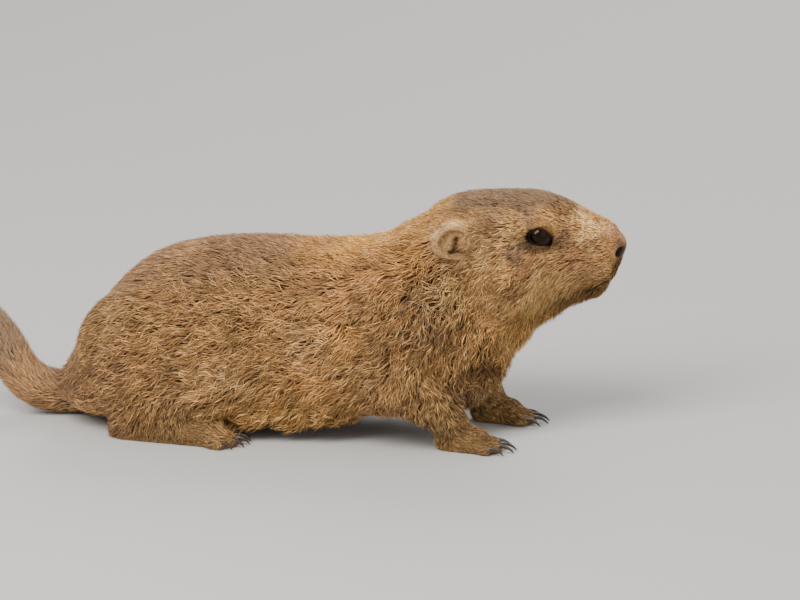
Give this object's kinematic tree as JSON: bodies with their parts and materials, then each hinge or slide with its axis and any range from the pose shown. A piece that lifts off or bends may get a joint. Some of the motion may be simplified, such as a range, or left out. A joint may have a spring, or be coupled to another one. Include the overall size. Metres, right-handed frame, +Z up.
{
  "type": "alpine marmot",
  "caption": "Alpine marmot crouched on all fours with its head raised: stout furry body, blunt muzzle, small rounded ears, clawed feet and a short bushy tail that curls up.",
  "frame": {"origin": "on the floor, under the middle of the animal's bounding box", "axes": "+X forwards from tail to nose, +Y to the animal's left, +Z up"},
  "size_m": [0.4438, 0.1396, 0.1575],
  "materials": {
    "body_fur": "dense brown fur with buff tips",
    "face_fur": "short buff-brown fur",
    "ear_fur": "very short pale fur over thin skin",
    "tail_fur": "long dark grey-brown fur",
    "foot_fur": "short buff fur",
    "claw_horn": "dark horn, satin",
    "eye": "wet and very dark brown"
  },
  "bodies": {
    "root": {"ear_left": "ear_fur", "ear_right": "ear_fur", "eye_left": "eye", "eye_right": "eye", "forefoot_left": "foot_fur", "forefoot_left_claw_1": "claw_horn", "forefoot_left_claw_2": "claw_horn", "forefoot_left_claw_3": "claw_horn", "forefoot_left_claw_4": "claw_horn", "forefoot_right": "foot_fur", "forefoot_right_claw_1": "claw_horn", "forefoot_right_claw_2": "claw_horn", "forefoot_right_claw_3": "claw_horn", "forefoot_right_claw_4": "claw_horn", "foreleg_left": "body_fur", "foreleg_right": "body_fur", "head": "face_fur", "hindfoot_left": "foot_fur", "hindfoot_left_claw_1": "claw_horn", "hindfoot_left_claw_2": "claw_horn", "hindfoot_left_claw_3": "claw_horn", "hindfoot_left_claw_4": "claw_horn", "hindfoot_left_claw_5": "claw_horn", "hindfoot_right": "foot_fur", "hindfoot_right_claw_1": "claw_horn", "hindfoot_right_claw_2": "claw_horn", "hindfoot_right_claw_3": "claw_horn", "hindfoot_right_claw_4": "claw_horn", "hindfoot_right_claw_5": "claw_horn", "hindleg_left": "body_fur", "hindleg_right": "body_fur", "neck": "body_fur", "tail_root": "tail_fur", "tail_tip": "tail_fur", "torso": "body_fur"}
  },
  "joints": []
}
